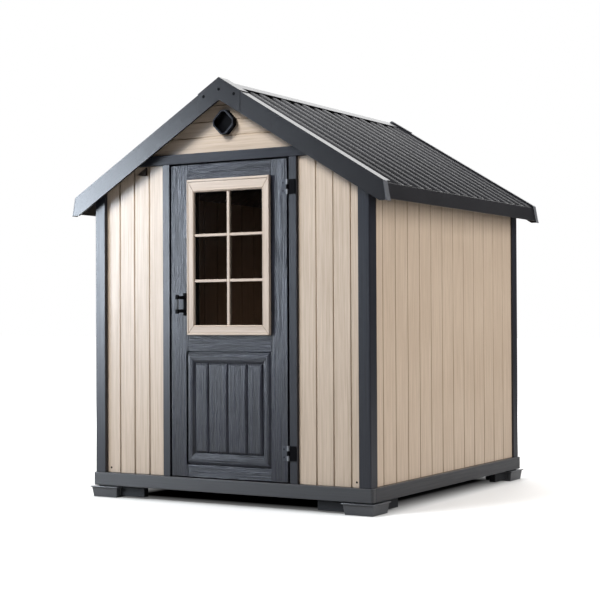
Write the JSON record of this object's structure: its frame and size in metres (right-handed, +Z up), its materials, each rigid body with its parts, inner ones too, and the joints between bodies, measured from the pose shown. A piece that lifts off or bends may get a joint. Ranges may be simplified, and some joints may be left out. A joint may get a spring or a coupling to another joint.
{
  "type": "plastic storage shed",
  "caption": "Plastic garden shed with cream board walls, slate posts and feet, a ribbed gabled roof with small vents, and an outward-opening panelled door with a window.",
  "frame": {"origin": "on the ground under the middle of the base", "axes": "+Z up, the door faces -Y and hangs on its +X side, the ridge runs along Y"},
  "size_m": [2.086, 2.144, 2.3769],
  "materials": {
    "slate_base": "dark slate moulded plastic, fine grain",
    "slate_frame": "slate moulded plastic, fine grain",
    "cream_board": "cream moulded plastic boards with a wood grain",
    "cream_trim": "cream moulded plastic, smooth",
    "door_slate": "slate moulded plastic with a wood grain",
    "roof_ribbed": "charcoal moulded plastic",
    "roof_trim": "charcoal moulded plastic, slight sheen",
    "beam_metal": "grey painted steel",
    "black_fitting": "black plastic",
    "hinge_grey": "grey plastic",
    "pane": "clear pane"
  },
  "bodies": {
    "shed": {"foot_front_left": "slate_base", "foot_front_right": "slate_base", "foot_back_left": "slate_base", "foot_back_right": "slate_base", "base_skirt_front": "slate_base", "base_skirt_back": "slate_base", "base_skirt_left": "slate_base", "base_skirt_right": "slate_base", "floor_panel": "slate_base", "corner_post_front_left": "slate_frame", "corner_post_front_right": "slate_frame", "corner_post_back_left": "slate_frame", "corner_post_back_right": "slate_frame", "front_wall_left": "cream_board", "front_wall_right": "cream_board", "back_wall": "cream_board", "side_wall_left": "cream_board", "side_wall_right": "cream_board", "front_header": "slate_frame", "back_header": "slate_frame", "front_gable": "cream_board", "back_gable": "cream_board", "front_vent": "slate_frame", "back_vent": "slate_frame", "door_jamb_left": "slate_frame", "door_jamb_right": "slate_frame", "roof_sheet_left": "roof_ribbed", "roof_sheet_right": "roof_ribbed", "ridge_cap": "roof_trim", "ridge_beam": "beam_metal", "rake_front_left": "roof_trim", "rake_front_right": "roof_trim", "rake_back_left": "roof_trim", "rake_back_right": "roof_trim", "apex_cap_front": "roof_trim", "apex_cap_back": "roof_trim", "eave_left": "roof_trim", "eave_right": "roof_trim", "hinge_jamb_plates": "black_fitting"},
    "door": {"door_leaf": "door_slate", "door_lower_panel": "door_slate", "window_frame": "cream_trim", "window_glass": "pane", "door_handle": "black_fitting", "hinge_door_plates": "hinge_grey"}
  },
  "joints": [
    {"name": "door_hinge", "type": "hinge", "parent": "shed", "child": "door", "pos_m": [0.407, -1.014, 1.03], "axis": [0, 0, 1], "range_deg": [0, 110]}
  ]
}
